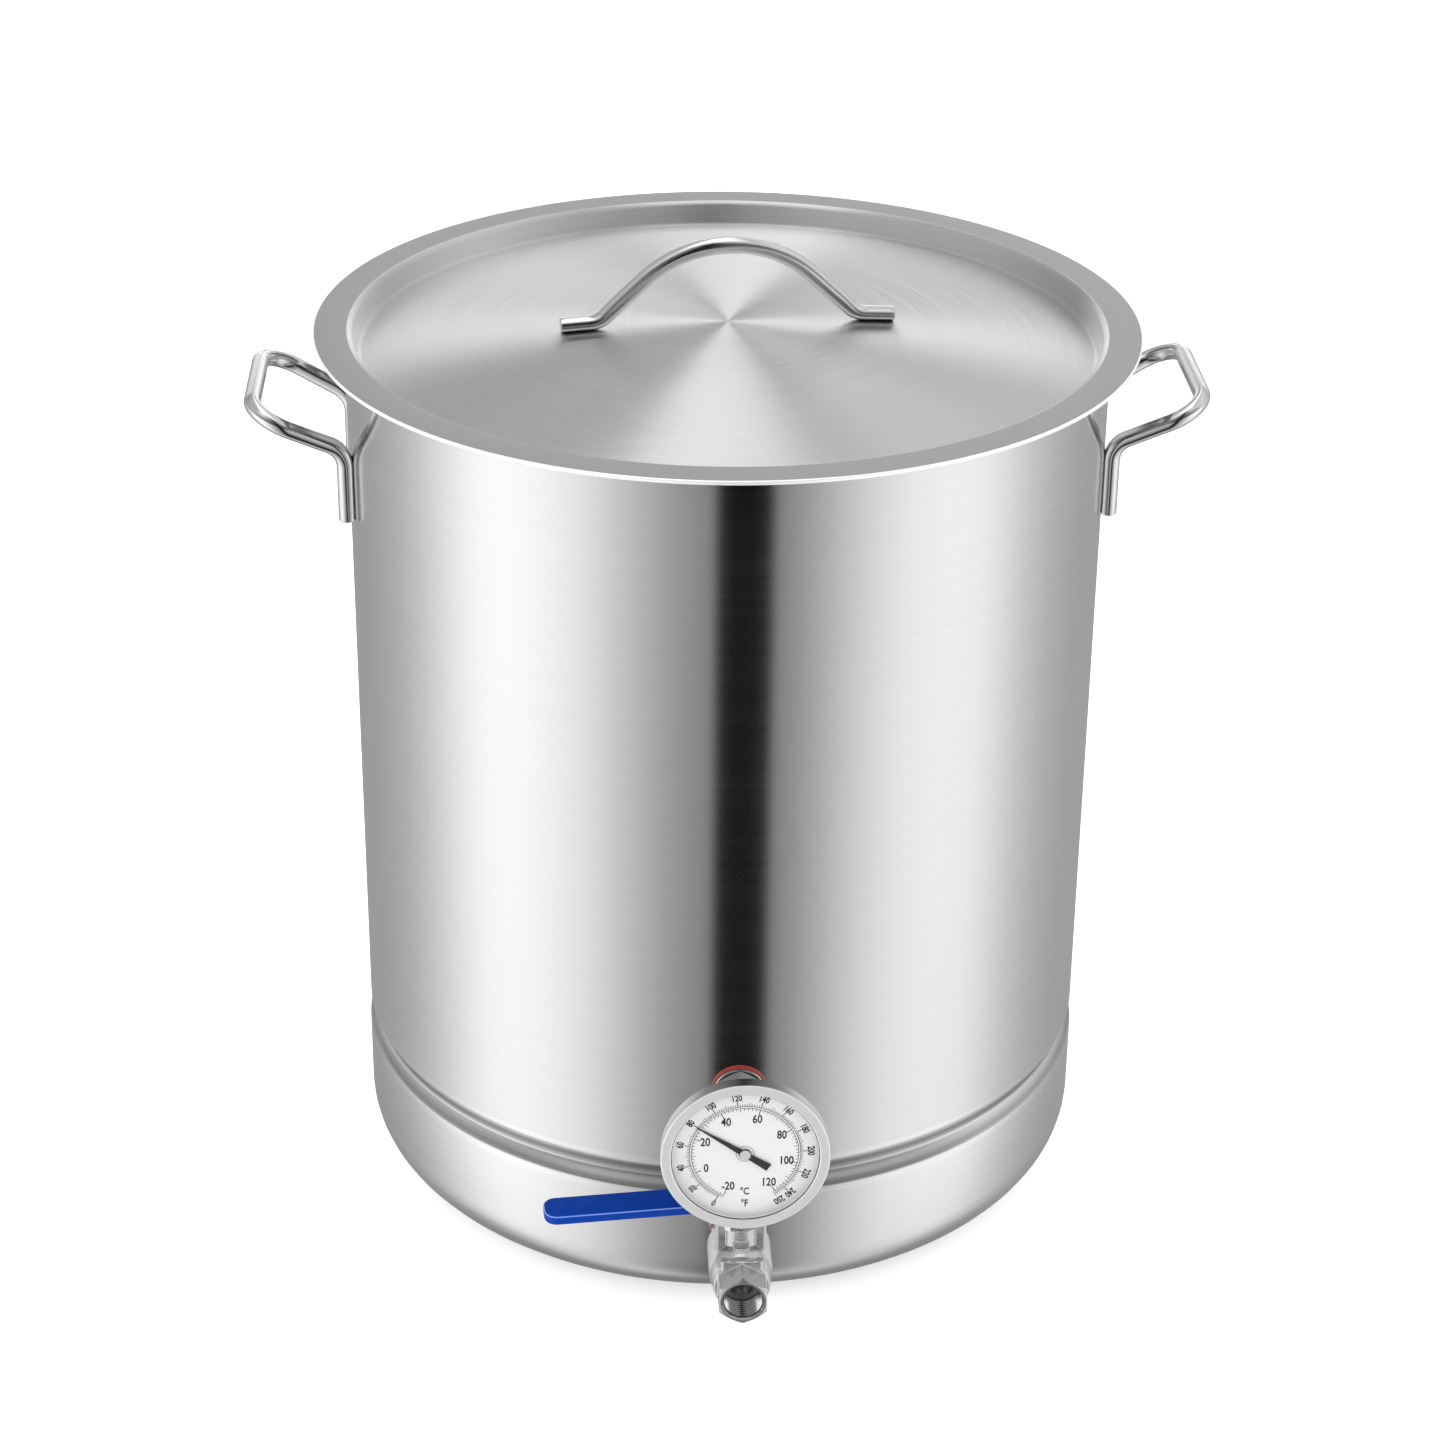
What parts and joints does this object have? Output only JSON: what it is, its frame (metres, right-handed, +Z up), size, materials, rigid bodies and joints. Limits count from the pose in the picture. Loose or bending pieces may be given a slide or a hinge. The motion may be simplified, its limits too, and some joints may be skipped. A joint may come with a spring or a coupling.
{
  "type": "brew kettle",
  "caption": "Tall stainless steel brew kettle with recessed lid, rod handles, dial thermometer, lever ball valve and perforated false bottom.",
  "frame": {"origin": "centre of the pot's flat bottom, on the surface it stands on", "axes": "+Z up along the pot's axis, -Y out of the front where the thermometer and the valve are, +X to the right of someone facing the front"},
  "size_m": [0.503, 0.4802, 0.5308],
  "materials": {
    "sheet_steel": "brushed stainless sheet",
    "rod_steel": "polished stainless rod",
    "fittings_steel": "turned stainless steel",
    "case_steel": "satin stainless sheet",
    "cast_steel": "investment-cast stainless, bead blasted",
    "red_silicone": "soft matt silicone",
    "ptfe": "smooth PTFE",
    "dial_white": "white printed dial",
    "lens_glass": "flat clear glass",
    "black_rubber": "matt rubber",
    "brass": "turned brass",
    "bimetal": "rolled bimetal strip",
    "pointer_black": "matt black paint",
    "blue_vinyl": "dipped vinyl"
  },
  "bodies": {
    "kettle": {"pot": "sheet_steel", "handle_left": "rod_steel", "handle_right": "rod_steel", "thermo_seal_outer": "red_silicone", "thermo_washer_outer": "fittings_steel", "thermo_connector": "fittings_steel", "thermo_seal_inner": "red_silicone", "thermo_washer_inner": "fittings_steel", "thermo_lock_nut": "fittings_steel", "thermo_stem_tube": "fittings_steel", "thermo_case": "case_steel", "thermo_shaft_bush": "brass", "thermo_bimetal_coil": "bimetal", "thermo_dial": "dial_white", "thermo_dial_spacer": "dial_white", "thermo_lens": "lens_glass", "thermo_lens_gasket": "black_rubber", "thermo_bezel": "case_steel", "valve_seal_outer": "red_silicone", "valve_washer_outer": "fittings_steel", "valve_nipple": "fittings_steel", "valve_seal_inner": "red_silicone", "valve_washer_inner": "fittings_steel", "valve_lock_nut": "fittings_steel", "valve_body": "cast_steel", "valve_end_cap": "cast_steel", "valve_cap_gasket": "ptfe", "valve_seat_inlet": "ptfe", "valve_seat_outlet": "ptfe", "valve_stem_packing": "ptfe", "valve_thrust_washer": "ptfe", "valve_gland_nut": "fittings_steel"},
    "lid": {"lid": "sheet_steel", "lid_handle": "rod_steel"},
    "false_bottom": {"false_bottom": "sheet_steel"},
    "lever": {"valve_ball": "fittings_steel", "valve_stem": "fittings_steel", "lever_plate": "fittings_steel", "lever_sleeve": "blue_vinyl", "lever_spring_washer": "fittings_steel", "lever_nut": "fittings_steel"},
    "pointer": {"pointer": "pointer_black", "pointer_hub": "fittings_steel", "pointer_shaft": "fittings_steel"}
  },
  "joints": [
    {"name": "lid_lift", "type": "slide", "parent": "kettle", "child": "lid", "axis": [0, 0, 1], "range_m": [0, 0.25]},
    {"name": "false_bottom_lift", "type": "slide", "parent": "kettle", "child": "false_bottom", "axis": [0, 0, 1], "range_m": [0, 0.03]},
    {"name": "lever_turn", "type": "hinge", "parent": "kettle", "child": "lever", "pos_m": [0, -0.2288, 0.0505], "axis": [0, 0, 1], "range_deg": [-6, 84]},
    {"name": "pointer_turn", "type": "hinge", "parent": "kettle", "child": "pointer", "pos_m": [0, -0.2596, 0.139], "axis": [0, 1, 0], "range_deg": [-96, 204], "stiffness_Nm_per_rad": 0.00002}
  ]
}
